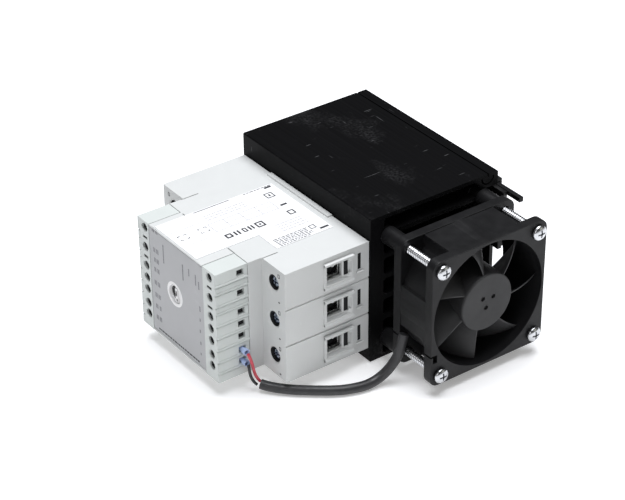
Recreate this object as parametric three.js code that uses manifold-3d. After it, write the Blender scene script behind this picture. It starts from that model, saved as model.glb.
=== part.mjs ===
// Three-pole solid state relay with its own heatsink, fan and DIN-rail latch, lying on its side.
// Millimetres, +Z up. Working frame: +X runs from the front panel to the rail side, +Y from the fan to
// the line terminals, +Z across the width. X = 0 is the face where the relay housing meets the heatsink,
// Y = 0 is the heatsink's fan end, Z = 0 is the side that the part lies on.
import * as THREE from "three";
import { mergeVertices } from "three/addons/utils/BufferGeometryUtils.js";
import Module from "manifold-3d";

const wasm = await Module();
wasm.setup();

// ---------- driving dimensions ----------
const GAP = 0.3; // clearance between touching pieces
const SIDES = ["load", "line"]; // the load terminals are at the fan end, the line terminals at the other

const SINK = {
  depth: 67.4, length: 90.9, width: 70, base: 7, wall: 2, fins: 6, finPitch: 10,
  finRoot: 2.4, finTip: 1.6, finEnd: 56, post: { x: 58, z: 6.6 }, boss: 3.5,
};
const CLIP = { groove: [61.6, 62.2], depth: 1.5, x: 61.7, z: 1.6, outer: 3.5, inner: 2.9 };
const FAN = {
  x: 34, z: 35, size: 60, front: -35.3, back: -10.3, flange: 4.5, pitch: 50,
  bore: 28.6, barrel: 29.9, corner: 4.5, strut: { deep: 2.4, wide: 3 },
};
const MOTOR = {
  base: 12.6, baseDepth: 2.4, tubeOuter: 4.2, tubeInner: 3.2, tubeFront: -27.5, tubeBack: -11.8,
};
const HUB = { r: 13.3, front: -34.3, back: -17.6, wall: 1.2, bossOuter: 3, bossInner: 1.5, bossBack: -28.6 };
const BLADE = {
  count: 7, tip: 27.9, front: -33.4, back: -18, thick: 1.1,
  first: 46, chordRoot: 42, chordTip: 34, sweep: 10, // degrees
};
const STATOR = { y: [-28, -20], ringOuter: 6, ringInner: 4.5, poles: 4 };
const SCREW = { shank: 1.95, hole: 2.25, head: 3.5, headHeight: 2.3, reach: 6, cross: 2, crossHalf: 0.4 };
const SPACER = 4;

const HOUSING = {
  front: -64.9, step: -42.3, back: -GAP, low: 0.6, high: 89.7, bottom: 7.1, top: 59.8, wall: 2,
};
const CONTROL = { low: 16.8, high: 74.4, plugLow: 26, plugHigh: 66, plugBack: -49.3 };
const CHAMBER = 17; // start of the power stage's cavity, from the load end
const PANEL = { back: -63.7, z: [8.3, 58.8], recess: -63.4 };
const LABEL = { x: [-64, -5.5], y: [31.2, 62.2], stepX: -33.5, stepY: 18.2 };
const POLES = [51.2, 33.6, 16]; // pole centres across the width
const SEAMS = [42.4, 24.8];
const TERMINAL = {
  y: 8.9, shift: 0.7, wayHalf: 2.8, wayX: [-21.6, -14], wedgeX: [-13, -9.9], pocketX: [-37.2, -11.9],
  pocketY: [2.6, 14.6], pocketHalf: 5.6, bore: 3.3, neck: 2.3,
};
const POWER = { module: 6.4, moduleX: [-7.4, -1.2], moduleY: 22, post: 4, bar: 3.4, board: [-32.4, -30.9] };
const CLAMP = { x: [-31, -12.3], holeX: [-28, -13.7], half: 5, holeHalf: 3.8, y: [4, 13] };
const TERMINAL_SCREW = { head: 2.9, headX: [-41.2, -38.7], shank: 1.9, tip: -24.2 };
const WAYS = [56.7, 47.2, 38.1, 32.2, 26.3, 19.5, 14]; // control wire entries across the width
const WAY = { x: [-54.5, -51.1], half: 1.4, depth: 5.2, wellIn: 4.4, well: 1.5, wellEnd: -60 };
const DIAL = { y: 47.8, z: 34.6, r: 4.1, stem: 1.4, hole: 4.8, grip: { y: 3.4, z: 0.9 } };
const TRIMMER = { half: 4.6, x: [-58, -50.9] };

const RAIL = { height: 35, low: 27.6, seat: 72.5, relief: 0.2, flange: 1.5 };
const BRACKET = { x: [67.7, 69.9], y: [4, 82], z: [3, 67], feet: -3.5, footWidth: 6 };
const LATCH = { x: [70.2, 72.4], legs: -10.9, z: [9.6, 60.4], leg: 2.3, frontY: 14.2, spring: 1.5 };
const GUIDE = { y: [4.5, 12], wall: 1.2, lip: 1.8, rise: 1.4 };
const HOOK = { back: 76, z: [18, 52], latchZ: [22, 48], thick: 3.4, lip: 2.4 };

// Route of the fan lead's sheath, from between the fan's flanges down to the ground.
const SHEATH_R = 2.15;
const SHEATH_ROUTE = [
  [4.3, -17.3, 22.1], [3.3, -17.5, 19.2], [2.3, -17.6, 16.2], [1.1, -17.4, 12.7], [-0.9, -16.9, 9.4],
  [-3.4, -16.1, 6.2], [-6.4, -15.2, 3.7], [-10, -14.8, 2.5], [-14, -14.4, 2.2], [-17.9, -13.4, 2.2],
  [-21.8, -11.9, 2.2], [-26, -9.5, 2.2], [-30.5, -6.2, 2.2], [-34.6, -2.9, 2.2], [-38.6, 0.5, 2.2],
  [-42, 3.8, 2.3], [-44.7, 6.7, 2.5], [-47, 9.4, 2.9], [-48.2, 11, 3.3],
];
const WIRE_R = 0.65;
const RED_ROUTE = [
  [-47.8, 11.9, 4], [-48.7, 12.3, 5.5], [-49.6, 12.5, 7.6], [-50.4, 12.5, 10.3], [-51.1, 12.3, 13.3],
  [-51.9, 12, 16], [-52.6, 12.1, 18.1], [-52.8, 12.9, 19.3],
];
const BLACK_ROUTE = [
  [-49.6, 11.7, 3.2], [-50.6, 12, 4.6], [-51.6, 12.2, 6.6], [-52.4, 12.1, 8.9], [-52.8, 12, 11.1],
  [-52.9, 12.2, 12.7], [-52.8, 12.9, 13.8],
];
const FERRULE = { collar: 1.3, pin: 0.95, front: 13.5, neck: 16.6, end: 21.6 };

// ---------- solids ----------
const solid = (geometry) => {
  const bare = new THREE.BufferGeometry().setAttribute("position", geometry.getAttribute("position"));
  if (geometry.index) bare.setIndex(geometry.index);
  const merged = mergeVertices(bare, 1e-4);
  return new wasm.Manifold(
    new wasm.Mesh({
      numProp: 3,
      vertProperties: new Float32Array(merged.attributes.position.array),
      triVerts: new Uint32Array(merged.index.array),
    }),
  );
};
const geometryOf = (body) => {
  const mesh = body.getMesh();
  const geometry = new THREE.BufferGeometry();
  geometry.setAttribute("position", new THREE.BufferAttribute(new Float32Array(mesh.vertProperties), 3));
  geometry.setIndex(new THREE.BufferAttribute(new Uint32Array(mesh.triVerts), 1));
  geometry.computeVertexNormals();
  return geometry;
};
const join = (...bodies) => bodies.reduce((a, b) => a.add(b));
const cut = (body, ...tools) => tools.reduce((a, b) => a.subtract(b), body);

const block = ([x0, x1], [y0, y1], [z0, z1]) => {
  const box = new THREE.BoxGeometry(x1 - x0, y1 - y0, z1 - z0);
  return solid(box.translate((x0 + x1) / 2, (y0 + y1) / 2, (z0 + z1) / 2));
};

// A prism along an axis. Its outline's points are (y, z) for "x", (z, x) for "y" and (x, y) for "z".
const UNIT = { x: new THREE.Vector3(1, 0, 0), y: new THREE.Vector3(0, 1, 0), z: new THREE.Vector3(0, 0, 1) };
const PLACE = {
  x: new THREE.Matrix4().makeBasis(UNIT.y, UNIT.z, UNIT.x),
  y: new THREE.Matrix4().makeBasis(UNIT.z, UNIT.x, UNIT.y),
  z: new THREE.Matrix4(),
};
const outline = (points) => new THREE.Shape(points.map(([a, b]) => new THREE.Vector2(a, b)));
const prism = (axis, points, from, to, holes = []) => {
  const shape = outline(points);
  shape.holes = holes.map(outline);
  const geometry = new THREE.ExtrudeGeometry(shape, { depth: to - from, bevelEnabled: false });
  return solid(geometry.translate(0, 0, from).applyMatrix4(PLACE[axis]));
};
const rectangle = ([a0, a1], [b0, b1]) => [[a0, b0], [a1, b0], [a1, b1], [a0, b1]];
const circle = (a, b, r, n = 16, turn = 0.5) =>
  Array.from({ length: n }, (_, i) => {
    const t = ((i + turn) / n) * 2 * Math.PI;
    return [a + r * Math.cos(t), b + r * Math.sin(t)];
  });
const rod = (axis, a, b, r, from, to, n = 16) => prism(axis, circle(a, b, r, n), from, to);
const ring = (axis, a, b, outer, inner, from, to, n = 24) =>
  prism(axis, circle(a, b, outer, n), from, to, [circle(a, b, inner, n)]);
const roundedSquare = (a, b, half, r, n = 3) => {
  const quarters = [[1, 1], [-1, 1], [-1, -1], [1, -1]];
  return quarters.flatMap(([sx, sy], quarter) =>
    Array.from({ length: n + 1 }, (_, i) => {
      const t = (quarter + i / n) * (Math.PI / 2);
      return [a + sx * (half - r) + r * Math.cos(t), b + sy * (half - r) + r * Math.sin(t)];
    }),
  );
};
const ordered = (a, b) => [Math.min(a, b), Math.max(a, b)];
const middle = (c, half) => [c - half, c + half];

// A place or a stretch given for the load side, on either side: the line side is its mirror image.
const placeOn = (side, y) => (side === "load" ? y : HOUSING.low + HOUSING.high - y);
const stretchOn = (side, y0, y1) => ordered(placeOn(side, y0), placeOn(side, y1));

// ---------- the scene graph ----------
// colour, roughness, metalness
const FINISH = {
  anodised: ["#17171a", 0.5, 0.7],
  housing: ["#cfd0cd", 0.55, 0],
  plug: ["#cdd1cb", 0.55, 0],
  panel: ["#a9abb0", 0.6, 0],
  label: ["#f4f4f4", 0.6, 0],
  fanBlack: ["#222325", 0.5, 0],
  hub: ["#3b3b3d", 0.6, 0],
  steel: ["#c4c6c8", 0.3, 1],
  blackSteel: ["#1c1c1e", 0.4, 0.6],
  copper: ["#b56f45", 0.35, 1],
  tin: ["#bcbdb9", 0.35, 1],
  board: ["#1f5a35", 0.6, 0],
  module: ["#2b2b2d", 0.6, 0],
  pad: ["#c8c8c8", 0.8, 0],
  magnet: ["#44403d", 0.8, 0],
  varistor: ["#2d5f9e", 0.5, 0],
  dial: ["#eceded", 0.5, 0],
  sheath: ["#3c3c3e", 0.6, 0],
  red: ["#d8485c", 0.5, 0],
  black: ["#26272a", 0.5, 0],
  ferrule: ["#a9bfe8", 0.5, 0],
  brass: ["#b89a55", 0.35, 1],
};
// The part's origin is under the middle of its box, without the fan lead.
const part = new THREE.Group();
const device = new THREE.Group();
const screwCrown = FAN.front - GAP - SCREW.headHeight;
device.position.set(-(HOUSING.front + HOOK.back) / 2, -(screwCrown + SINK.length) / 2, 0);
part.add(device);
const add = (name, body, finish) => {
  const [color, roughness, metalness] = FINISH[finish];
  const material = new THREE.MeshStandardMaterial({ color, roughness, metalness });
  const mesh = new THREE.Mesh(geometryOf(body), material);
  mesh.name = name;
  device.add(mesh);
};

const fanCorners = [-1, 1].flatMap((i) =>
  [-1, 1].map((k) => [FAN.x + (i * FAN.pitch) / 2, FAN.z + (k * FAN.pitch) / 2]),
);

// ---------- heatsink: an extrusion along Y ----------
function heatsink() {
  const { depth, length, width, base, wall, fins, finPitch, finRoot, finTip, finEnd, post, boss } = SINK;
  const side = [[0, 0], [0, depth], [post.z, depth], [post.z, post.x], [wall, post.x - 3], [wall, base]];
  const comb = [];
  for (let i = 1; i <= fins; i++) {
    const z = i * finPitch;
    comb.push([z - finRoot / 2, base], [z - finTip / 2, finEnd]);
    comb.push([z + finTip / 2, finEnd], [z + finRoot / 2, base]);
  }
  const far = side.map(([z, x]) => [width - z, x]).reverse();
  let body = prism("y", [...side, ...comb, ...far], 0, length);
  const bosses = fanCorners.map(([x, z]) => rod("y", z, x, boss, 0, length, 12));
  const holes = fanCorners.map(([x, z]) => rod("y", z, x, SCREW.hole, -1, length + 1, 12));
  body = cut(join(body, ...bosses), ...holes);
  // A shallow groove along each outer face, and the curved clip slot under it.
  for (const [face, inward] of [[0, 1], [width, -1]]) {
    const across = (d) => face + inward * d;
    const groove = rectangle(ordered(across(-1), across(CLIP.depth)), CLIP.groove);
    const arc = (r, from, to) =>
      Array.from({ length: 6 }, (_, i) => {
        const t = from + ((to - from) * i) / 5;
        return [across(CLIP.z + r * Math.sin(t)), CLIP.x - r * Math.cos(t)];
      });
    const slot = [...arc(CLIP.outer, 0, Math.PI), ...arc(CLIP.inner, Math.PI, 0)];
    body = cut(body, prism("y", groove, -1, length + 1), prism("y", slot, -1, length + 1));
  }
  add("heatsink", body, "anodised");
}

// ---------- power stage ----------
function powerStage() {
  const { module, moduleX, moduleY, post, bar, board } = POWER;
  add("thermal_pad", block([-0.9, -GAP], [20.5, 69.8], [11, 56.5]), "pad");
  // A busbar steps down from its module to the terminal, where its contact pad stands 0.2 mm proud.
  const strip = [
    [-23.5, 3.6], [-23.5, 26.6], [-12.3, 26.6], [-12.3, 25],
    [-22, 25], [-22, 12.6], [-21.8, 12.6], [-21.8, 3.6],
  ];
  POLES.forEach((pole, i) => {
    const n = i + 1;
    const pillar = (side) => block([-12, moduleX[0]], stretchOn(side, 22.5, 27), middle(pole, post));
    const base = block(moduleX, [moduleY, placeOn("line", moduleY)], middle(pole, module));
    add(`power_module_${n}`, join(base, ...SIDES.map(pillar)), "module");
    for (const side of SIDES) {
      const points = strip.map(([x, y]) => [x, placeOn(side, y)]);
      add(`busbar_${side}_${n}`, prism("z", points, ...middle(pole + TERMINAL.shift, bar)), "copper");
    }
    add(`varistor_${n}`, rod("x", 40, pole, 5, -30.6, -26.6, 14), "varistor");
  });
  add("power_board", block(board, stretchOn("load", 19.4, placeOn("line", 19.4)), [10.4, 56.6]), "board");
}

// ---------- terminals: a captive screw that draws a box clamp up to its busbar ----------
function terminals() {
  const { head, headX, shank, tip } = TERMINAL_SCREW;
  for (const side of SIDES)
    POLES.forEach((pole, i) => {
      const z = pole + TERMINAL.shift;
      const y = placeOn(side, TERMINAL.y);
      const slot = block([headX[0] - 0.8, headX[0] + 1], middle(y, 0.45), middle(z, 2.4));
      const crown = cut(rod("x", y, z, head, ...headX, 14), slot);
      const threaded = rod("x", y, z, shank, headX[1] - 0.3, tip, 10);
      add(`terminal_screw_${side}_${i + 1}`, join(crown, threaded), "steel");
      const hole = rectangle(middle(z, CLAMP.holeHalf), CLAMP.holeX);
      const around = rectangle(middle(z, CLAMP.half), CLAMP.x);
      const frame = prism("y", around, ...stretchOn(side, ...CLAMP.y), [hole]);
      const thread = rod("x", y, z, TERMINAL.neck, CLAMP.x[0] - 1, CLAMP.holeX[0] + 1, 10);
      add(`terminal_clamp_${side}_${i + 1}`, cut(frame, thread), "tin");
    });
}

// ---------- relay housing: one moulding, open towards the heatsink ----------
// What one terminal takes out of the housing.
function terminalTools(side, pole) {
  const { step } = HOUSING;
  const { y: screwY, shift, wayHalf, wayX, wedgeX, pocketX, pocketY, pocketHalf, bore, neck } = TERMINAL;
  const z = pole + shift;
  const y = placeOn(side, screwY);
  const funnel = [[-22.5, -2], [-22.5, -0.6], [-21.6, 1], [-14, 1], [-10, -0.6], [-10, -2]];
  return [
    block(pocketX, stretchOn(side, ...pocketY), middle(z, pocketHalf)),
    block([-24.2, -21.4], stretchOn(side, 14, 17.5), middle(z, 4)), // the busbar's way in
    block(wayX, stretchOn(side, -2, 4), middle(z, wayHalf)),
    block(wedgeX, stretchOn(side, -2, 1), middle(z, wayHalf)),
    rod("x", y, z, bore, step - 1, -38.4, 14),
    rod("x", y, z, neck, -39, pocketX[0] + 1, 10),
    block([-6, -4.4], stretchOn(side, -2, 3), [pole - 2.8, pole + 4.8]), // vent slot
    prism("z", funnel.map(([x, v]) => [x, placeOn(side, v)]), z - 4.6, z + 4.4),
  ];
}
function relayHousing() {
  const { front, step, back, low, high, bottom, top, wall } = HOUSING;
  const { low: controlLow, high: controlHigh, plugLow, plugHigh, plugBack } = CONTROL;
  const inside = [bottom + wall, top - wall];
  const through = [bottom - 1, top + 1];
  let body = join(
    block([step, back], [low, high], [bottom, top]),
    block([front, step + 1], [controlLow, controlHigh], [bottom, top]),
    block([-2.8, back], [25.5, 69], [top - 1, top + 0.8]),
  );
  const tools = [
    // plug bays and the front panel's recess
    block([front - 1, plugBack + GAP], [controlLow - 1, plugLow + GAP], through),
    block([front - 1, plugBack + GAP], [plugHigh - GAP, controlHigh + 1], through),
    block([front - 1, PANEL.recess], [plugLow, plugHigh], [PANEL.z[0] - 0.1, PANEL.z[1] + 0.1]),
    // control cavity and power cavity
    block([-64, -46], [28.2, 63.8], inside),
    block([-47.2, -39], [controlLow + wall, controlHigh - wall], inside),
    block([-40, back + 1], [CHAMBER, placeOn("line", CHAMBER)], inside),
  ];
  for (const side of SIDES) {
    tools.push(
      block([-50, -46], stretchOn(side, 22.4, 25.6), [11.8, top - wall]), // pin header window
      block([-9.6, back + 1], stretchOn(side, 2.6, 15), inside), // hollow under the terminals
      block([step - 1, -34.7], stretchOn(side, 15.9, 16.4), [top - 1.2, top + 1]), // relief slits
      block([plugBack, -48.8], stretchOn(side, plugLow, 30.8), [top - 1, top + 1]),
    );
    for (const pole of POLES) {
      // the raised frame round the wire entry
      body = body.add(block([-23.5, -8.9], stretchOn(side, -0.6, 1.6), middle(pole, 6.3)));
      tools.push(...terminalTools(side, pole));
    }
    for (const seam of SEAMS)
      tools.push(block([step - 1, back + 1], stretchOn(side, -1, 1.1), middle(seam, 0.3)));
  }
  add("relay_housing", cut(body, ...tools), "housing");

  const plate = rectangle([plugLow + 0.1, plugHigh - 0.1], PANEL.z);
  add("front_panel", prism("x", plate, front, PANEL.back, [circle(DIAL.y, DIAL.z, DIAL.hole, 20)]), "panel");
  const [x0, x1] = LABEL.x;
  const [y0, y1] = LABEL.y;
  const { stepX, stepY } = LABEL;
  const film = [[x0, y0], [stepX, y0], [stepX, stepY], [x1, stepY], [x1, y1], [x0, y1]];
  add("side_label", prism("z", film, top + 0.05, top + 0.2), "label");
}

// ---------- control side: board, trim dial, pin headers, plugs ----------
function controlSide() {
  const { y, z, r, stem, grip } = DIAL;
  add("control_board", block([-50.6, -49.4], [28.6, 63.4], [9.6, 57.2]), "board");
  const trimmer = block(TRIMMER.x, middle(y, TRIMMER.half), middle(z, TRIMMER.half));
  add("trim_potentiometer", cut(trimmer, rod("x", y, z, stem + GAP, -59, -54, 12)), "module");
  const bar = block([-63.9, -62.6], middle(y, grip.y), middle(z, grip.z));
  const disc = rod("x", y, z, r, -62.7, -60.8, 20);
  add("trim_dial", join(disc, bar, rod("x", y, z, stem, -61, -55, 12)), "dial");

  for (const side of SIDES) {
    // distances from the plug's outer face
    const from = (d) => (side === "load" ? CONTROL.low + d : CONTROL.high - d);
    const across = (a, b) => ordered(from(a), from(b));
    const pins = WAYS.map((way) => block([-53.4, -46.5], across(6.6, 7.6), middle(way, 0.5)));
    const header = block([-46.9, -43.4], across(3, 8.6), [10, 57.6]);
    add(`pin_header_${side}`, join(header, ...pins), "brass");

    const depth = side === "load" ? CONTROL.plugLow - CONTROL.low : CONTROL.high - CONTROL.plugHigh;
    const shell = block([HOUSING.front, CONTROL.plugBack], across(0, depth), [HOUSING.bottom, HOUSING.top]);
    const socket = block([-54.4, CONTROL.plugBack + 1], across(6, 8.2), [13, 57.7]);
    const well = (way) => rod("x", from(WAY.wellIn), way, WAY.well, HOUSING.front - 1, WAY.wellEnd, 10);
    const entries = WAYS.map((way) => block(WAY.x, across(-1, WAY.depth), middle(way, WAY.half)));
    add(`control_plug_${side}`, cut(shell, socket, ...WAYS.map(well), ...entries), "plug");
  }
}

// ---------- fan ----------
function fanFrame() {
  const { x, z, size, front, back, flange, bore, barrel, corner, strut } = FAN;
  const { base, baseDepth, tubeOuter, tubeInner, tubeFront, tubeBack } = MOTOR;
  const holes = fanCorners.map(([a, b]) => circle(b, a, SCREW.hole, 10));
  const flangeAt = (from, to) =>
    prism("y", roundedSquare(z, x, size / 2, corner), from, to, [circle(z, x, bore, 36), ...holes]);
  const [strutFrom, strutTo] = [10, bore + 1];
  const struts = [45, 135, 225, 315].map((angle) => {
    const beam = new THREE.BoxGeometry(strutTo - strutFrom, strut.deep, strut.wide);
    beam.translate((strutFrom + strutTo) / 2, 0, 0).rotateY(THREE.MathUtils.degToRad(angle));
    return solid(beam.translate(x, back - 1.3, z));
  });
  const frame = join(
    flangeAt(front, front + flange),
    flangeAt(back - flange, back),
    ring("y", z, x, barrel, bore, front + flange - 0.2, back - flange + 0.2, 36),
    rod("y", z, x, base, back - baseDepth, back, 24),
    rod("y", z, x, tubeOuter, tubeFront, back - 2, 14),
    ...struts,
  );
  // Slots that lead the fan's wires out of both flanges.
  const notch = (y0, y1) => block([3, 6.4], [y0, y1], [19.6, 20.4]);
  const tools = [
    rod("y", z, x, tubeInner, tubeFront - 0.5, tubeBack, 14),
    notch(front - 1, front + flange + 0.2),
    notch(back - flange - 0.2, back + 1),
    block([5.2, 7.4], [front - 1, front + flange + 0.1], [16.6, 20.4]),
  ];
  add("fan_frame", cut(frame, ...tools), "fanBlack");
}
function fanFixings() {
  const seat = FAN.front - GAP;
  const recess = [seat - 3, seat - 1.2];
  fanCorners.forEach(([a, b], i) => {
    const head = rod("y", b, a, SCREW.head, screwCrown, seat, 14);
    const cross = [
      block(middle(a, SCREW.cross), recess, middle(b, SCREW.crossHalf)),
      block(middle(a, SCREW.crossHalf), recess, middle(b, SCREW.cross)),
    ];
    const shank = rod("y", b, a, SCREW.shank, seat - 0.5, SCREW.reach, 10);
    add(`fan_screw_${i + 1}`, join(cut(head, ...cross), shank), "steel");
    add(`fan_spacer_${i + 1}`, ring("y", b, a, SPACER, SCREW.hole, FAN.back + 0.05, -0.05, 12), "fanBlack");
  });
}
// A blade's mid surface turns back round the hub with depth, and leans forward towards its tip.
function blade(start) {
  const rad = THREE.MathUtils.degToRad;
  const root = HUB.r - 0.5; // the blade starts inside the hub's wall
  const sheet = new THREE.BoxGeometry(1, 1, BLADE.thick, 3, 4, 1).toNonIndexed();
  const place = sheet.getAttribute("position");
  for (let i = 0; i < place.count; i++) {
    const out = place.getX(i) + 0.5; // 0 at the hub, 1 at the tip
    const along = place.getY(i) + 0.5; // 0 at the front edge, 1 at the back edge
    const r = root + out * (BLADE.tip - root);
    const chord = rad(BLADE.chordRoot + (BLADE.chordTip - BLADE.chordRoot) * out);
    const angle = start + rad(BLADE.sweep) * out - chord * along ** 0.9 + place.getZ(i) / r;
    const y = BLADE.front + (BLADE.back - BLADE.front) * along;
    place.setXYZ(i, FAN.x + r * Math.cos(angle), y, FAN.z + r * Math.sin(angle));
  }
  return solid(sheet);
}
function fanRotor() {
  const { x, z } = FAN;
  const { r, front, back, wall, bossOuter, bossInner, bossBack } = HUB;
  const floor = front + wall + 0.3;
  const cup = cut(rod("y", z, x, r, front, back, 28), rod("y", z, x, r - wall, floor, back + 1, 28));
  const boss = ring("y", z, x, bossOuter, bossInner, floor - 0.2, bossBack, 12);
  const first = THREE.MathUtils.degToRad(BLADE.first);
  const pitch = (2 * Math.PI) / BLADE.count;
  const blades = Array.from({ length: BLADE.count }, (_, i) => blade(first + i * pitch));
  add("fan_impeller", join(cup, boss, ...blades), "hub");
  add("fan_magnet_ring", ring("y", z, x, 11.8, 10.4, -32.4, -18.4, 24), "magnet");
  add("fan_shaft", rod("y", z, x, 1.15, -32.4, -13, 10), "steel");
}
function fanMotor() {
  const { x, z } = FAN;
  const { y, ringOuter, ringInner, poles } = STATOR;
  add("fan_bearing", ring("y", z, x, 2.85, 1.5, -27, -13.4, 12), "brass");
  add("fan_circuit_board", ring("y", z, x, 12.2, 4.6, -15.6, -14.4, 24), "board");
  // T-shaped poles round a ring
  const shoe = [[-4.6, 7.6], [4.6, 7.6], [3.2, 9.6], [-3.2, 9.6]];
  const star = Array.from({ length: poles }, (_, i) =>
    join(block([5, 8.6], y, middle(0, 1.6)), prism("y", shoe, ...y)).rotate([0, (i * 360) / poles, 0]),
  );
  const yoke = ring("y", 0, 0, ringOuter, ringInner, ...y, 16);
  add("fan_stator", join(yoke, ...star).translate([x, 0, z]), "steel");
}

// ---------- DIN rail side ----------
function railSide() {
  const [b0, b1] = BRACKET.x;
  const [w0, w1] = LATCH.z;
  const [l0, l1] = LATCH.x;
  const upper = RAIL.low + RAIL.height + GAP; // the fixed hook's stop
  const lipX = [RAIL.seat + RAIL.flange, HOOK.back];
  const root = b1 - 0.2; // where what stands on the bracket's plate starts
  // A guide that folds over each leg of the latch.
  const guides = [[w1 + GAP, 1], [w0 - GAP, -1]].flatMap(([z, out]) => [
    block([root, l1 + GUIDE.rise], GUIDE.y, ordered(z, z + out * GUIDE.wall)),
    block([l1 + GAP, l1 + GUIDE.rise], GUIDE.y, ordered(z - out * GUIDE.lip, z + out * GUIDE.wall)),
  ]);
  const plate = [
    block([b0, b1], BRACKET.y, BRACKET.z),
    block([b0, b1], [BRACKET.feet, 5], [w0, w0 + BRACKET.footWidth]),
    block([b0, b1], [BRACKET.feet, 5], [w1 - BRACKET.footWidth, w1]),
    block([b0, b1], [-1.2, 5], [31, 39]),
    block([root, 73.6], [-1.2, 0.8], [32, 38]), // the spring's stop
  ];
  // The rail rests on the seat. Under the hook's lip the seat is a little lower.
  const hook = [
    block([root, RAIL.seat], [46, upper - HOOK.lip - 0.2], HOOK.z),
    block([root, RAIL.seat - RAIL.relief], [46, upper + 0.1], HOOK.z),
    block([root, HOOK.back], [upper, upper + HOOK.thick], HOOK.z),
    block(lipX, [upper - HOOK.lip, upper + 1], HOOK.z),
  ];
  add("din_bracket", join(...plate, ...hook, ...guides), "blackSteel");
  const stop = RAIL.low - GAP;
  const latch = [
    block([l0, l1], [LATCH.frontY, stop], [w0, w1]),
    block([l0, l1], [LATCH.legs, 15], [w0, w0 + LATCH.leg]),
    block([l0, l1], [LATCH.legs, 15], [w1 - LATCH.leg, w1]),
    block([l1 - 0.2, HOOK.back], [stop - HOOK.thick + GAP, stop], HOOK.latchZ),
    block(lipX, [stop - 0.7, stop + HOOK.lip + 0.1], HOOK.latchZ),
  ];
  add("din_latch", join(...latch), "blackSteel");
  const spring = rod("y", SINK.width / 2, b1 + GAP + LATCH.spring, LATCH.spring, 1.1, 13.9, 12);
  add("latch_spring", spring, "steel");
}

// ---------- fan lead ----------
function tube(points, radius, steps) {
  const places = points.map((p) => new THREE.Vector3(...p));
  const extrudePath = new THREE.CatmullRomCurve3(places, false, "centripetal");
  const section = outline(circle(0, 0, radius, 8, 0));
  return solid(new THREE.ExtrudeGeometry(section, { steps, extrudePath, bevelEnabled: false }));
}
function fanLead() {
  add("fan_lead_sheath", tube(SHEATH_ROUTE, SHEATH_R, 30), "sheath");
  add("fan_wire_red", tube(RED_ROUTE, WIRE_R, 10), "red");
  add("fan_wire_black", tube(BLACK_ROUTE, WIRE_R, 8), "black");
  const { collar, pin, front, neck, end } = FERRULE;
  const x = (WAY.x[0] + WAY.x[1]) / 2;
  for (const [name, z] of [["ferrule_red", WAYS[5]], ["ferrule_black", WAYS[6]]]) {
    const sleeve = rod("y", z, x, collar, front, neck, 10);
    add(name, join(sleeve, rod("y", z, x, pin, neck - 0.2, end, 10)), "ferrule");
  }
}

heatsink();
powerStage();
terminals();
relayHousing();
controlSide();
fanFrame();
fanFixings();
fanRotor();
fanMotor();
railSide();
fanLead();

export default part;
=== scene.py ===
"""The looks of a three-pole solid state relay with a finned heatsink, a fan and a rail latch."""
import math
import random

import bmesh
import bpy
from mathutils import Matrix, Vector


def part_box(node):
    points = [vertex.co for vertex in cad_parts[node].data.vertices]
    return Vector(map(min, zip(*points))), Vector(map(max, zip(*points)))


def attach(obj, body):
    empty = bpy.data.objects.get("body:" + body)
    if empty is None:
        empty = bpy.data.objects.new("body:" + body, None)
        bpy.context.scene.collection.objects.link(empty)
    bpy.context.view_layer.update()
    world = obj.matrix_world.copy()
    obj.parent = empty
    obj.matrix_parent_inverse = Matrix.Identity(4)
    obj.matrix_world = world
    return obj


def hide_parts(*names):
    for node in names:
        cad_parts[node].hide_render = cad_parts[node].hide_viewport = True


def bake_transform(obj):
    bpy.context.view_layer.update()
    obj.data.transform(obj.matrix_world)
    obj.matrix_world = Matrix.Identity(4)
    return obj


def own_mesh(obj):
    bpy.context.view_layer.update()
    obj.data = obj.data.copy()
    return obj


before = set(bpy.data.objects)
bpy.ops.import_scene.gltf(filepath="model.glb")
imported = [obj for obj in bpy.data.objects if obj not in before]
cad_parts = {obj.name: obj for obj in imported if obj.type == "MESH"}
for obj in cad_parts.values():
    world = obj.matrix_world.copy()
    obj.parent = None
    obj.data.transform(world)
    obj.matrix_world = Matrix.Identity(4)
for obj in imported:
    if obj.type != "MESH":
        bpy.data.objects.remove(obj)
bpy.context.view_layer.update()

# Shapes below are in millimetres in the device's own frame: X = 0 is the face where the housing meets the
# heatsink, Y = 0 the heatsink's fan end and Z = 0 the side that the device lies on.
MM = 0.001
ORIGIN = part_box("heatsink")[0]
TO_ROW = Matrix.Translation(ORIGIN) @ Matrix.Scale(MM, 4)
TO_DEVICE = TO_ROW.inverted()
SIDES = ("load", "line")
MIRROR_Y = 90.3  # y on the load side is MIRROR_Y - y on the line side
POLES = (51.2, 33.6, 16.0)
TERMINAL_Z = tuple(z + 0.7 for z in POLES)
TERMINAL_Y = 8.9
WAYS = (56.7, 47.2, 38.1, 32.2, 26.3, 19.5, 14.0)
FERRULE_WAYS = {"red": WAYS[5], "black": WAYS[6]}
SEAMS = (42.4, 24.8)
WIRE_WINDOWS = ((-21.6, -13.9), (-13.1, -11.0))
FRONT = -64.9
PANEL = -64.74
STEP = -42.3
PLUG_OUTER = 16.8
PLUG_BACK = -49.3
PLUG_SLITS = (51.9, 42.4)
PLUG_RIBS = (54.0, 50.3, 44.4, 40.9, 35.1, 29.2, 23.3, 17.3, 11.8)
DIAL = (47.8, 34.6)
FAN = (34.0, 35.0)
FAN_FRONT = -35.3
FAN_BACK = -10.3
FAN_CORNERS = [(FAN[0] + i * 25.0, FAN[1] + k * 25.0) for i in (-1, 1) for k in (-1, 1)]
FAN_HOLE = 2.25
FAN_BARREL = (-34.6, -11)
SCREW_SEAT = -38.6
LATCH_FRONT = 70.2
BRACKET_SCREWS = [(y, z) for y in (33.0, 72.0) for z in (7.4, 62.6)]
INK_GAP = 0.002


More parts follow.
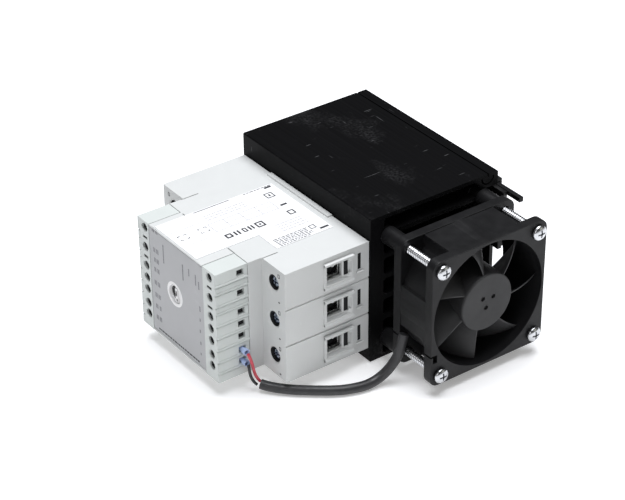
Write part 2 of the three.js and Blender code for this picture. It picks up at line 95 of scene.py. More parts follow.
def at(x, y, z):
    """A device point, in millimetres, as a point of the row frame, in metres."""
    return TO_ROW @ Vector((x, y, z))


def on_side(side, y):
    return y if side == "load" else MIRROR_Y - y


def layer(side, outer, inner):
    """The limits in Y, low and high, of a layer inside one side."""
    return sorted((on_side(side, outer), on_side(side, inner)))


# ---- camera and fan lead ----

def link(thing):
    bpy.context.scene.collection.objects.link(thing)
    return thing


def make_camera():
    azimuth, elevation, roll = (math.radians(v) for v in (-35.8, 32.22, -0.58))
    distance = 903.85
    back = Vector((
        math.sin(azimuth) * math.cos(elevation),
        -math.cos(azimuth) * math.cos(elevation),
        math.sin(elevation),
    ))
    level = Vector((math.cos(azimuth), math.sin(azimuth), 0))
    right = math.cos(roll) * level + math.sin(roll) * back.cross(level)
    up = back.cross(right)
    camera = bpy.data.objects.new("camera", bpy.data.cameras.new("camera"))
    camera.data.sensor_width = 36
    camera.data.lens = 121.08
    camera.data.clip_start = 0.01
    camera.data.clip_end = 20
    place = Matrix((right, up, back)).transposed().to_4x4()
    place.translation = at(*(Vector((5.1, 47.38, 30)) + distance * back))
    camera.matrix_world = place
    bpy.context.scene.camera = link(camera)


SHEATH_DIAMETER = 4.3
SHEATH_ROUTE = (
    (4.3, -17.3, 22.1), (3.3, -17.5, 19.2), (2.3, -17.6, 16.2), (1.1, -17.4, 12.7), (-0.9, -16.9, 9.4),
    (-3.4, -16.1, 6.2), (-6.4, -15.2, 3.7), (-10, -14.8, 2.5), (-14, -14.4, 2.2), (-17.9, -13.4, 2.2),
    (-21.8, -11.9, 2.2), (-26, -9.5, 2.2), (-30.5, -6.2, 2.2), (-34.6, -2.9, 2.2), (-38.6, 0.5, 2.2),
    (-42, 3.8, 2.3), (-44.7, 6.7, 2.5), (-47, 9.4, 2.9), (-48.2, 11, 3.3),
)
RED_ROUTE = (
    (-47.8, 11.9, 4), (-48.7, 12.3, 5.5), (-49.6, 12.5, 7.6), (-50.4, 12.5, 10.3), (-51.1, 12.3, 13.3),
    (-51.9, 12, 16), (-52.6, 12.1, 18.1), (-52.8, 12.9, 19.3),
)
BLACK_ROUTE = (
    (-49.6, 11.7, 3.2), (-50.6, 12, 4.6), (-51.6, 12.2, 6.6), (-52.4, 12.1, 8.9), (-52.8, 12, 11.1),
    (-52.9, 12.2, 12.7), (-52.8, 12.9, 13.8),
)


def cord_curve(name, route, diameter):
    """An open round cord through the route's points, in metres."""
    data = bpy.data.curves.new(name, "CURVE")
    data.dimensions = "3D"
    data.bevel_depth = diameter / 2 * MM
    data.bevel_resolution = 6
    data.resolution_u = 8
    data.use_fill_caps = True
    spline = data.splines.new("BEZIER")
    spline.bezier_points.add(len(route) - 1)
    for point, place in zip(spline.bezier_points, route):
        point.co = at(*place)
        point.handle_left_type = point.handle_right_type = "AUTO"
    return link(bpy.data.objects.new(name, data))


make_camera()
sheath = cord_curve("fan_lead", SHEATH_ROUTE, SHEATH_DIAMETER)


# ---- materials ----

class Look:
    """A material's node tree, built up in a few calls. Coordinates are object coordinates, in metres."""

    def __init__(self, name, colour, roughness, metallic=0.0, specular=0.5):
        self.material = bpy.data.materials.new(name)
        self.material.use_nodes = True
        self.nodes = self.material.node_tree.nodes
        self.links = self.material.node_tree.links
        self.shader = self.nodes["Principled BSDF"]
        self.set("Base Color", (*colour, 1))
        self.set("Roughness", roughness)
        self.set("Metallic", metallic)
        self.set("Specular IOR Level", specular)
        self.place = self.add("TexCoord").outputs["Object"]

    def set(self, socket, value):
        self.shader.inputs[socket].default_value = value

    def add(self, kind, **values):
        """A new node with these values on its inputs, whose names have _ for a space."""
        node = self.nodes.new(f"ShaderNode{kind}")
        for name, value in values.items():
            node.inputs[name.replace("_", " ")].default_value = value
        return node

    def stretched(self, scale):
        node = self.add("Mapping", Scale=scale)
        self.links.new(self.place, node.inputs["Vector"])
        return node.outputs["Vector"]

    def noise(self, scale, detail=3.0, rough=0.5, stretch=None):
        node = self.add("TexNoise", Scale=scale, Detail=detail, Roughness=rough)
        self.links.new(self.stretched(stretch) if stretch else self.place, node.inputs["Vector"])
        return node.outputs["Fac"]

    def spots(self, scale):
        node = self.add("TexVoronoi", Scale=scale)
        self.links.new(self.place, node.inputs["Vector"])
        return node.outputs["Distance"]

    def remap(self, value, low, high, to_low=0.0, to_high=1.0):
        node = self.add("MapRange", From_Min=low, From_Max=high, To_Min=to_low, To_Max=to_high)
        self.links.new(value, node.inputs["Value"])
        return node.outputs["Result"]

    def times(self, a, b):
        node = self.add("Math")
        node.operation = "MULTIPLY"
        self.links.new(a, node.inputs[0])
        if isinstance(b, float):
            node.inputs[1].default_value = b
        else:
            self.links.new(b, node.inputs[1])
        return node.outputs[0]

    def mix(self, factor, a, b):
        """Colour a where factor is 0, b where it is 1. Each is a colour or a socket."""
        node = self.add("Mix")
        node.data_type = "RGBA"
        self.links.new(factor, node.inputs[0])
        for socket, colour in ((node.inputs[6], a), (node.inputs[7], b)):
            if isinstance(colour, tuple):
                socket.default_value = (*colour, 1)
            else:
                self.links.new(colour, socket)
        return node.outputs[2]

    def colour(self, socket):
        self.links.new(socket, self.shader.inputs["Base Color"])
        return self

    def roughness(self, socket):
        self.links.new(socket, self.shader.inputs["Roughness"])
        return self

    def bump(self, height, distance, strength=1.0):
        node = self.add("Bump", Distance=distance, Strength=strength)
        self.links.new(height, node.inputs["Height"])
        last = self.shader.inputs["Normal"]
        if last.links:
            self.links.new(last.links[0].from_socket, node.inputs["Normal"])
        self.links.new(node.outputs["Normal"], last)
        return self


def shade(colour, factor):
    return tuple(min(1.0, c * factor) for c in colour)


def moulded(name, colour, roughness=0.5, mottle=0.05, grain=2600, depth=8e-6, specular=0.45):
    """Injection-moulded plastic: a fine spark texture, faint flow mottling and a few dull rubs."""
    look = Look(name, colour, roughness, specular=specular)
    flow = look.remap(look.noise(45, 4), 0.3, 0.7)
    base = look.mix(flow, shade(colour, 1 - mottle), shade(colour, 1 + mottle))
    rubs = look.remap(look.noise(900, 2, stretch=(1, 0.12, 0.3)), 0.66, 0.8)
    look.colour(look.mix(look.times(rubs, 0.25), base, shade(colour, 1.25)))
    look.roughness(look.remap(look.noise(220, 4), 0.3, 0.7, roughness - 0.07, roughness + 0.07))
    return look.bump(look.noise(grain, 3), depth).material


def anodised(name, colour):
    """Black anodised extrusion: die lines along Y, a dusty bloom, and short grey scratches."""
    look = Look(name, colour, 0.42, specular=0.03)
    die_lines = look.noise(1, 5, 0.6, stretch=(1500, 9, 1500))
    bloom = look.remap(look.noise(26, 5, 0.62, stretch=(1, 0.55, 1)), 0.5, 0.72)
    dust = look.remap(look.noise(900, 2), 0.4, 0.7)
    base = look.mix(look.remap(die_lines, 0.3, 0.7), shade(colour, 0.75), shade(colour, 1.3))
    base = look.mix(look.times(look.times(bloom, dust), 0.9), base, (0.06, 0.06, 0.062))
    streak = look.remap(look.noise(1, 2, stretch=(95, 900, 95)), 0.72, 0.76)
    tick = look.remap(look.noise(1, 2, stretch=(700, 60, 700)), 0.74, 0.78)
    base = look.mix(look.times(streak, 0.7), base, (0.11, 0.11, 0.115))
    look.colour(look.mix(look.times(tick, 0.6), base, (0.1, 0.1, 0.105)))
    look.roughness(look.remap(bloom, 0, 1, 0.36, 0.55))
    look.bump(die_lines, 5e-6)
    return look.bump(look.noise(3500, 2), 3e-6).material


def metal(name, colour, roughness, brush=(1, 1, 1), stain=None, depth=3e-6):
    """Bare or plated metal: fine brush marks across the stretch, uneven polish, and a faint stain."""
    look = Look(name, colour, roughness, metallic=1.0)
    marks = look.noise(900, 4, 0.6, stretch=brush)
    patches = look.remap(look.noise(150, 4), 0.35, 0.7)
    dull = stain or shade(colour, 0.72)
    look.colour(look.mix(look.times(patches, 0.55), colour, dull))
    look.roughness(look.remap(marks, 0.25, 0.75, roughness - 0.08, roughness + 0.14))
    return look.bump(marks, depth).material


def painted_steel(name, colour):
    """Black painted spring steel with an orange-peel skin and rubbed spots."""
    look = Look(name, colour, 0.4, specular=0.15)
    worn = look.remap(look.noise(260, 5, 0.7), 0.66, 0.74)
    look.colour(look.mix(look.times(worn, 0.6), colour, (0.09, 0.088, 0.085)))
    look.roughness(look.remap(look.noise(300, 3), 0.3, 0.7, 0.3, 0.5))
    return look.bump(look.noise(1400, 2), 9e-6).material


def circuit_board(name, mask, copper):
    """Green solder mask over tracks, with bare pads."""
    look = Look(name, mask, 0.32)
    tracks = look.remap(look.noise(1, 1, 0.3, stretch=(260, 260, 40)), 0.5, 0.52)
    pads = look.remap(look.spots(330), 0.16, 0.14)
    board = look.mix(look.times(tracks, 0.6), mask, shade(mask, 1.9))
    look.colour(look.mix(pads, board, copper))
    look.roughness(look.remap(look.noise(700, 2), 0.3, 0.7, 0.25, 0.42))
    return look.bump(tracks, 2e-5).material


def soft_pvc(name, colour, roughness=0.45):
    """Cable jacket: slightly waxy, with handling marks and faint extrusion ripples."""
    look = Look(name, colour, roughness, specular=0.5)
    marks = look.remap(look.noise(420, 5, 0.65), 0.45, 0.75)
    look.colour(look.mix(look.times(marks, 0.4), shade(colour, 0.9), shade(colour, 1.5)))
    look.roughness(look.remap(look.noise(700, 3), 0.3, 0.7, roughness - 0.1, roughness + 0.12))
    return look.bump(look.noise(1600, 3), 1.2e-5).material


def film(name, colour):
    """Matt printed film with a faint paper-like grain."""
    look = Look(name, colour, 0.5, specular=0.35)
    look.colour(look.mix(look.remap(look.noise(300, 3), 0.3, 0.7), shade(colour, 0.975), colour))
    look.roughness(look.remap(look.noise(900, 2), 0.3, 0.7, 0.42, 0.58))
    return look.bump(look.noise(2400, 2), 2e-6).material


def ink(name, colour):
    """Printing ink with slightly uneven cover."""
    look = Look(name, colour, 0.55, specular=0.3)
    cover = look.remap(look.noise(2200, 4, 0.7), 0.35, 0.6)
    look.colour(look.mix(cover, shade(colour, 1.6), colour))
    return look.bump(look.noise(2600, 2), 2e-6).material


def laminated(name, colour):
    """A stack of thin stamped sheets across Y."""
    look = Look(name, colour, 0.45, metallic=0.9)
    sheets = look.noise(1, 0, stretch=(20, 2600, 20))
    look.colour(look.mix(look.remap(sheets, 0.4, 0.6), shade(colour, 0.6), colour))
    return look.bump(sheets, 2e-5).material


RECIPES = {
    "anodised_black": (anodised, (0.0048, 0.0048, 0.0052)),
    "thermal_pad": (moulded, (0.5, 0.51, 0.54), 0.8, 0.08, 1500, 2e-5),
    "moulded_black": (moulded, (0.012, 0.012, 0.013), 0.5, 0.15, 1800, 1.5e-5, 0.2),
    "housing_grey": (moulded, (0.61, 0.622, 0.615), 0.5, 0.02),
    "plug_grey": (moulded, (0.59, 0.622, 0.605), 0.5, 0.02),
    "panel_grey": (moulded, (0.45, 0.455, 0.465), 0.6, 0.015, 2000, 6e-6, 0.3),
    "label_white": (film, (0.86, 0.865, 0.875)),
    "dial_white": (moulded, (0.8, 0.8, 0.8), 0.42, 0.02),
    "copper": (metal, (0.75, 0.42, 0.27), 0.3, (1, 0.1, 1), (0.42, 0.2, 0.12)),
    "circuit_board": (circuit_board, (0.012, 0.09, 0.035), (0.7, 0.6, 0.4)),
    "pins_brass": (metal, (0.78, 0.62, 0.32), 0.28, (0.1, 1, 1)),
    "varistor_blue": (moulded, (0.03, 0.12, 0.4), 0.35, 0.15, 900, 2.5e-5),
    "fan_black": (moulded, (0.0085, 0.0085, 0.0092), 0.4, 0.2, 1500, 1e-5, 0.2),
    "impeller_grey": (moulded, (0.03, 0.03, 0.031), 0.45, 0.1, 1500, 1e-5, 0.25),
    "magnet": (moulded, (0.045, 0.04, 0.037), 0.75, 0.2, 900, 3e-5),
    "screw_steel": (metal, (0.62, 0.63, 0.65), 0.2),
    "screw_blue": (metal, (0.5, 0.56, 0.68), 0.2),
    # Near-black steel for the plug screws: partly their own dark finish, partly painted shade for the wells.
    "screw_dark": (metal, (0.012, 0.012, 0.013), 0.5),
    "stator_steel": (laminated, (0.35, 0.36, 0.38)),
    "clamp_plated": (metal, (0.8, 0.81, 0.8), 0.26, (1, 0.12, 1)),
    "rail_steel_black": (painted_steel, (0.009, 0.009, 0.0095)),
    "sheath_grey": (soft_pvc, (0.03, 0.03, 0.032), 0.42),
    "wire_red": (soft_pvc, (0.62, 0.07, 0.1), 0.4),
    "wire_black": (soft_pvc, (0.016, 0.016, 0.018), 0.4),
    "ferrule_blue": (moulded, (0.45, 0.56, 0.84), 0.35, 0.04),
    "ink": (ink, (0.03, 0.03, 0.034)),
    "panel_ink": (ink, (0.19, 0.19, 0.2)),
    "faint_ink": (ink, (0.36, 0.36, 0.38)),
}
LOOKS = {name: make(name, *values) for name, (make, *values) in RECIPES.items()}


# ---- mesh tools ----

AXES = {
    "x": Matrix(((0, 0, 1, 0), (1, 0, 0, 0), (0, 1, 0, 0), (0, 0, 0, 1))),
    "y": Matrix(((0, 1, 0, 0), (0, 0, 1, 0), (1, 0, 0, 0), (0, 0, 0, 1))),
    "z": Matrix.Identity(4),
}


def circle(a, b, radius, count=48, start=0.0, sweep=2 * math.pi):
    turns = [start + i * sweep / count for i in range(count)]
    return [(a + radius * math.cos(t), b + radius * math.sin(t)) for t in turns]


def rounded(a0, a1, b0, b1, radius, count=6):
    """A rectangle with round corners, counterclockwise."""
    corners = ((a1, b1, 0), (a0, b1, 1), (a0, b0, 2), (a1, b0, 3))
    points = []
    for a, b, quarter in corners:
        ca = a - radius if a == a1 else a + radius
        cb = b - radius if b == b1 else b + radius
        for i in range(count + 1):
            t = (quarter + i / count) * math.pi / 2
            points.append((ca + radius * math.cos(t), cb + radius * math.sin(t)))
    return points


def outward(bm):
    """bm with its face normals turned outward."""
    bmesh.ops.recalc_face_normals(bm, faces=bm.faces)
    return bm


def add_box(bm, x, y, z):
    """A box between the limits on each axis."""
    made = bmesh.ops.create_cube(bm, size=1)["verts"]
    centre = Vector((sum(x) / 2, sum(y) / 2, sum(z) / 2))
    size = Vector((abs(x[1] - x[0]), abs(y[1] - y[0]), abs(z[1] - z[0])))
    for vert in made:
        vert.co = centre + Vector(a * b for a, b in zip(vert.co, size))
    return bm


def add_turned(bm, axis, a, b, profile, count=48):
    """A body turned round an axis through (a, b). The profile's (radius, height) points start and end on
    the axis, or, where no radius is 0, close on themselves as a ring."""
    place = AXES[axis]
    closed = all(radius > 0 for radius, _ in profile)
    rows = []
    for radius, height in profile:
        if radius == 0:
            rows.append([bm.verts.new(place @ Vector((a, b, height)))])
        else:
            points = circle(a, b, radius, count)
            rows.append([bm.verts.new(place @ Vector((u, v, height))) for u, v in points])
    pairs = list(zip(rows, rows[1:]))
    if closed:
        pairs.append((rows[-1], rows[0]))
    for low, high in pairs:
        for i in range(count):
            j = (i + 1) % count
            corners = [low[i % len(low)], low[j % len(low)], high[j % len(high)], high[i % len(high)]]
            kept = [v for k, v in enumerate(corners) if v not in corners[:k]]
            if len(kept) > 2:
                bm.faces.new(kept)
    return outward(bm)


def add_prism(bm, axis, points, low, high):
    """An outline without holes, drawn out along an axis."""
    place = AXES[axis]
    rows = [[bm.verts.new(place @ Vector((u, v, h))) for u, v in points] for h in (low, high)]
    bm.faces.new(rows[0])
    bm.faces.new(rows[1])
    for i in range(len(points)):
        j = (i + 1) % len(points)
        bm.faces.new((rows[0][i], rows[0][j], rows[1][j], rows[1][i]))
    return outward(bm)


def box(*limits):
    return add_box(bmesh.new(), *limits)


def turned(*shape):
    return add_turned(bmesh.new(), *shape)


def prism(*shape):
    return add_prism(bmesh.new(), *shape)


def add_plate(bm, axis, outline, holes, low, high, bevel=0.0):
    """An outline with holes, drawn out along an axis, with rounded rims."""
    data = bpy.data.curves.new("outline", "CURVE")
    data.dimensions = "2D"
    data.fill_mode = "BOTH"
    data.extrude = (high - low) / 2 - bevel
    data.bevel_depth = bevel
    data.bevel_resolution = 1
    data.offset = -bevel
    for loop in (outline, *holes):
        spline = data.splines.new("POLY")
        spline.points.add(len(loop) - 1)
        for point, (u, v) in zip(spline.points, loop):
            point.co = (u, v, 0, 1)
        spline.use_cyclic_u = True
    flat = bpy.data.objects.new("outline", data)
    mesh = bpy.data.meshes.new_from_object(flat)
    mesh.transform(AXES[axis] @ Matrix.Translation((0, 0, (low + high) / 2)))
    bm.from_mesh(mesh)
    bpy.data.objects.remove(flat)
    bmesh.ops.remove_doubles(bm, verts=bm.verts, dist=1e-3)
    return outward(bm)


def tube(bm, route, radius, sides=16):
    """A closed tube through the points of a route, with flat ends."""
    rings = []
    side = None
    for i, place in enumerate(route):
        ahead = (route[min(i + 1, len(route) - 1)] - route[max(i - 1, 0)]).normalized()
        side = (side - ahead * side.dot(ahead) if side else ahead.orthogonal()).normalized()
        other = ahead.cross(side)
        rings.append([bm.verts.new(place + radius * (side * math.cos(t) + other * math.sin(t)))
                      for t in (2 * math.pi * k / sides for k in range(sides))])
    for low, high in zip(rings, rings[1:]):
        for i in range(sides):
            j = (i + 1) % sides
            bm.faces.new((low[i], low[j], high[j], high[i]))
    bm.faces.new(rings[0][::-1])
    bm.faces.new(rings[-1])
    return outward(bm)


def smooth_route(points, steps=6):
    """A finer route through the points, as a Catmull-Rom curve."""
    places = [Vector(p) for p in points]
    padded = [2 * places[0] - places[1], *places, 2 * places[-1] - places[-2]]
    fine = []
    for a, b, c, d in zip(padded, padded[1:], padded[2:], padded[3:]):
        for i in range(steps):
            t = i / steps
            fine.append(0.5 * (2 * b + (c - a) * t + (2 * a - 5 * b + 4 * c - d) * t * t
                               + (3 * b - a - 3 * c + d) * t ** 3))
    return [*fine, places[-1]]


def merge(bm, other):
    """Adds the other's faces to bm."""
    mesh = bpy.data.meshes.new("part")
    other.to_mesh(mesh)
    other.free()
    bm.from_mesh(mesh)
    bpy.data.meshes.remove(mesh)


def placed(bm, turn, axis, place):
    """bm turned round an axis by some degrees and moved to its place."""
    matrix = Matrix.Translation(place) @ Matrix.Rotation(math.radians(turn), 4, axis)
    bmesh.ops.transform(bm, matrix=matrix, verts=bm.verts)
    return bm


def from_node(node):
    """A CAD node's mesh in device millimetres, with its flat faces whole again."""
    bm = bmesh.new()
    bm.from_mesh(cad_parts[node].data)
    bmesh.ops.transform(bm, matrix=TO_DEVICE, verts=bm.verts)
    bmesh.ops.remove_doubles(bm, verts=bm.verts, dist=2e-3)
    whole(bm)
    return bm


def whole(bm):
    bmesh.ops.dissolve_limit(bm, angle_limit=math.radians(0.6), verts=bm.verts, edges=bm.edges)


def as_object(name, bm):
    mesh = bpy.data.meshes.new(name)
    bm.to_mesh(mesh)
    bm.free()
    return link(bpy.data.objects.new(name, mesh))


def applied(thing):
    """The object with its modifiers made final."""
    mesh = bpy.data.meshes.new_from_object(thing.evaluated_get(bpy.context.evaluated_depsgraph_get()))
    thing.modifiers.clear()
    thing.data = mesh
    return thing


def combined(bm, others, operation):
    """bm joined with, or cut by, each closed shell of the others."""
    thing = as_object("work", bm)
    for other in others:
        tool = as_object("tool", other)
        change = thing.modifiers.new("change", "BOOLEAN")
        change.operation = operation
        change.solver = "EXACT"
        change.use_self = True
        change.object = tool
        bpy.context.view_layer.update()
        applied(thing)
        bpy.data.objects.remove(tool)
    result = bmesh.new()
    result.from_mesh(thing.data)
    bpy.data.objects.remove(thing)
    bmesh.ops.remove_doubles(result, verts=result.verts, dist=1e-3)
    whole(result)
    return result


def cut(bm, *tools):
    return combined(bm, tools, "DIFFERENCE")


def joined(bm, *others):
    return combined(bm, others, "UNION")


def piece(name, bm, body, slot, stands_for=(), bevel=0.0, long_edge=9.0, look=None):
    """Rounds the outer edges, moves the shape into the row frame and puts it on its body. Edges shorter
    than long_edge are rounded less, and inner corners stay sharp."""
    if bevel:
        weight = bm.edges.layers.float.new("bevel_weight_edge")
        for edge in bm.edges:
            if edge.is_manifold and edge.is_convex and edge.calc_face_angle() > math.radians(35):
                edge[weight] = min(1.0, max(0.3, edge.calc_length() / long_edge))
    made = as_object(name, bm)
    if bevel:
        change = made.modifiers.new("round", "BEVEL")
        change.limit_method = "WEIGHT"
        change.width = bevel
        change.segments = 2
        change.use_clamp_overlap = False
        change.harden_normals = False
        bpy.context.view_layer.update()
        applied(made)
    made.data.transform(TO_ROW)
    made.data.shade_smooth()
    made.data.set_sharp_from_angle(angle=math.radians(38))
    change = made.modifiers.new("even", "WEIGHTED_NORMAL")
    change.keep_sharp = True
    bpy.context.view_layer.update()
    applied(made)
    made.data.materials.clear()
    made.data.materials.append(LOOKS[look or slot])
    if stands_for:
        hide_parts(*stands_for)
    if body:
        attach(made, body)
    return made


# ---- heatsink and power stage ----

def heatsink():
    """One extrusion: base, side walls, six fins with round tips, posts, screw ports and clip slots."""
    width, base, wall = 70.0, 7.0, 2.0
    root, tip, fillet = 1.2, 0.8, 0.9

    def wall_side():
        post_z, post_x, depth = 6.6, 58.0, 67.4
        edge = [(0.4, 0), (0, 0.4), (0, 61.6), (1.5, 61.6), (1.5, 62.2), (0, 62.2), (0, depth - 0.5)]
        edge += [(0.5, depth), (post_z - 0.5, depth), (post_z, depth - 0.5), (post_z, post_x + 0.8)]
        edge += [(post_z - 0.8, post_x), (wall + 1.6, post_x - 1.2), (wall, post_x - 3.4)]
        return edge + [(wall, base + fillet), (wall + fillet, base)]

    outline = wall_side()
    for i in range(1, 7):
        z = 10.0 * i
        outline += [(z - root - fillet, base), (z - root, base + fillet), (z - tip, 55.2)]
        outline += [(z - tip * 0.5, 56), (z + tip * 0.5, 56), (z + tip, 55.2)]
        outline += [(z + root, base + fillet), (z + root + fillet, base)]
    outline += [(width - z, x) for z, x in reversed(wall_side())]
    holes = [circle(z, x, FAN_HOLE, 28) for x, z in FAN_CORNERS]
    for face, inward in ((0, 1), (width, -1)):
        arc = [(face + inward * (1.6 + r * math.sin(t)), 61.7 - r * math.cos(t))
               for r, turn in ((3.5, 1), (2.9, -1))
               for t in [math.pi * (i / 10 if turn > 0 else 1 - i / 10) for i in range(11)]]
        holes.append(arc)
    length = 90.9
    body = add_plate(bmesh.new(), "y", outline, holes, 0, length, 0.15)
    near, far = 0.05, length - 0.05
    port = [(FAN_HOLE, near), (3.5, near), (3.5, far), (FAN_HOLE, far)]
    ports = [turned("y", z, x, port, 40) for x, z in FAN_CORNERS]
    piece("heatsink_extrusion", joined(body, *ports), "root", "anodised_black", ["heatsink"])


def rounded_node(name, node, body, slot, bevel=0.2, long_edge=6.0):
    """A CAD piece whose shape is right, with its edges rounded."""
    return piece(name, from_node(node), body, slot, [node], bevel, long_edge)


def power_stage():
    rounded_node("thermal_sheet", "thermal_pad", "root", "thermal_pad", 0.1)
    rounded_node("power_circuit", "power_board", "root", "circuit_board", 0.12)
    for n in (1, 2, 3):
        rounded_node(f"module_{n}", f"power_module_{n}", "root", "moulded_black", 0.4)
        rounded_node(f"surge_disc_{n}", f"varistor_{n}", "root", "varistor_blue", 0.7, 2.0)
        for side in SIDES:
            rounded_node(f"contact_bar_{side}_{n}", f"busbar_{side}_{n}", "root", "copper", 0.2)
            clamp = f"clamp_{side}_{n}"
            rounded_node(f"box_clamp_{side}_{n}", f"terminal_clamp_{side}_{n}", clamp, "clamp_plated", 0.35)
            clamp_inside(side, n, clamp)


def clamp_inside(side, n, clamp):
    """What the wire window shows: a black plate inside the clamp, painted shade that keeps the window dark,
    and a bright fixed tongue in front of it.
    """
    z = TERMINAL_Z[n - 1]
    # Painted shade: a black sheet where the inside of the clamp lies in shade.
    plate = box((-27.9, -13.8), layer(side, 5.4, 5.9), (z - 3.7, z + 3.7))
    piece(f"clamp_shade_plate_{side}_{n}", plate, clamp, "moulded_black", bevel=0.1)
    outline = [(z + 3.5, -19.4), (z + 0.3, -16.9), (z + 0.6, -15.7), (z + 3.5, -15.5)]
    tongue = prism("y", outline, *layer(side, 3.4, 3.8))
    add_box(tongue, (-21.4, -20.6), layer(side, 3.4, 3.8), (z - 3.6, z - 1.2))
    piece(f"clamp_tongue_{side}_{n}", tongue, "root", "clamp_plated", bevel=0.08)


# ---- screws ----

def add_screw(bm, axis, a, b, head, shank, pitch, count=20):
    """A screw as one surface. head is (radius, height) from its crown to its neck, then a helical thread of
    the shank's outer radius runs from its start to its end."""
    place = AXES[axis]
    radius, start, end = shank
    way = 1 if end > start else -1
    per_turn = 5
    rings = [[(r, h)] * count for r, h in head]
    for k in range(int(abs(end - start) / pitch * per_turn)):
        height = start + way * k * pitch / per_turn
        ring = []
        for i in range(count):
            phase = (k / per_turn - i / count) % 1
            ring.append((radius - 0.17 * radius * min(1, 2.4 * abs(phase - 0.5)), height))
        rings.append(ring)
    rings.append([(radius * 0.7, end)] * count)
    rows = []
    for ring in rings:
        points = circle(0, 0, 1, count)
        rows.append([bm.verts.new(place @ Vector((a + r * u, b + r * v, h)))
                     for (r, h), (u, v) in zip(ring, points)])
    for low, high in zip(rows, rows[1:]):
        for i in range(count):
            j = (i + 1) % count
            bm.faces.new((low[i], low[j], high[j], high[i]))
    bm.faces.new(rows[0])
    bm.faces.new(rows[-1])
    return outward(bm)


def add_cross(bm, axis, a, b, half, width, low, high):
    """A cross recess that narrows to the bottom, as two wedges."""
    place = AXES[axis]
    for swap in (False, True):
        long, short = half, width / 2
        rows = []
        for h, shrink in ((low, 1.12), (high, 0.62)):
            corners = [(long, short), (-long, short), (-long, -short), (long, -short)]
            rows.append([(u * shrink, v) if not swap else (v, u * shrink) for u, v in corners])
        verts = [[bm.verts.new(place @ Vector((a + u, b + v, h))) for u, v in row]
                 for row, h in zip(rows, (low, high))]
        bm.faces.new(verts[0])
        bm.faces.new(verts[1])
        for i in range(4):
            j = (i + 1) % 4
            bm.faces.new((verts[0][i], verts[0][j], verts[1][j], verts[1][i]))
    return outward(bm)


def pan_head(radius, seat, crown):
    """The (radius, height) points of a domed head, from its crown to its seat."""
    rise = crown - seat
    arc = [(radius * math.sin(t), seat + rise * (0.35 + 0.65 * math.cos(t)))
           for t in [math.pi / 2 * k / 7 for k in range(1, 8)]]
    return [*arc, (radius, seat + 0.08 * rise), (radius * 0.97, seat)]


def fan_screws():
    seat = FAN_FRONT - 0.3
    crown = seat - 2.3
    for n, (x, z) in enumerate(FAN_CORNERS, 1):
        head = [*pan_head(3.4, seat, crown), (1.7, seat)]
        screw = add_screw(bmesh.new(), "y", z, x, head, (1.98, seat + 0.6, 6), 1.1)
        recess = add_cross(bmesh.new(), "y", z, x, 1.9, 0.75, crown - 0.4, crown + 1.5)
        piece(f"long_screw_{n}", cut(screw, recess), "root", "screw_steel", [f"fan_screw_{n}"])
        spacer = bmesh.new()
        low, high = FAN_BACK + 0.05, -0.05
        rim = [(FAN_HOLE, low), (3.6, low), (4, low + 0.4), (4, high - 0.4), (3.6, high), (FAN_HOLE, high)]
        add_turned(spacer, "y", z, x, rim, 40)
        piece(f"stand_off_{n}", spacer, "root", "fan_black", [f"fan_spacer_{n}"])


def terminal_screws():
    shade_liners = bmesh.new()
    for side in SIDES:
        for n, z in enumerate(TERMINAL_Z, 1):
            y = on_side(side, TERMINAL_Y)
            # Painted shade: a black liner round each bore's wall, so the bore reads dark round the screw
            # head.
            sleeve = [(2.85, SCREW_SEAT), (3.3, SCREW_SEAT), (3.3, STEP + 0.35), (2.85, -41.3)]
            add_turned(shade_liners, "x", y, z, sleeve, 48)
            screw = bmesh.new()
            head = [(1.4, -41.2), (2.0, -41.05), (2.4, -40.7), (2.6, -40.2), (2.6, -39.3), (2.5, -38.65)]
            add_screw(screw, "x", y, z, [*head, (1.8, SCREW_SEAT)], (1.9, -38.2, -24.2), 0.8)
            recess = add_cross(bmesh.new(), "x", y, z, 2.0, 0.8, -41.6, -39.4)
            add_box(recess, (-42, -40.5), (y - 3.2, y + 3.2), (z - 0.42, z + 0.42))
            piece(f"clamp_screw_{side}_{n}", cut(screw, recess), f"screw_{side}_{n}", "screw_steel",
                  [f"terminal_screw_{side}_{n}"], look="screw_blue")
        # Painted shade: black boxes inside the vent slots and the narrow wire windows.
        for pole, z in zip(POLES, TERMINAL_Z):
            add_box(shade_liners, (-5.95, -4.45), layer(side, 0.7, 1.1), (pole - 2.75, pole + 4.75))
            add_box(shade_liners, (-13.05, -11.05), layer(side, 0.7, 1.1), (z - 3.45, z + 3.45))
    piece("housing_shade_liners", shade_liners, "root", "moulded_black")


# ---- housing, panel and label ----

def relay_housing():
    """The housing with stepped screw bores, wire windows and wedge grooves between the poles."""
    bores = bmesh.new()
    windows = bmesh.new()
    bore = [(0, STEP - 1), (4.9, STEP - 1), (3.9, STEP + 0.1), (3.35, STEP + 0.5)]
    bore += [(3.35, -38.4), (2.35, -38.4), (2.35, -36), (0, -36)]
    for side in SIDES:
        for z in TERMINAL_Z:
            add_turned(bores, "x", on_side(side, TERMINAL_Y), z, bore, 56)
            for x in WIRE_WINDOWS:
                add_box(windows, x, layer(side, -1, 3.9), (z - 3.5, z + 3.5))
        for z in SEAMS:
            groove = [(-0.5, z - 0.75), (0.9, z - 0.05), (0.9, z + 0.2), (-0.5, z + 0.35)]
            add_prism(windows, "x", [(on_side(side, y), height) for y, height in groove], STEP - 1, 1)
    made = cut(from_node("relay_housing"), bores, windows)
    piece("housing_moulding", made, "root", "housing_grey", ["relay_housing"], 0.45, 40)


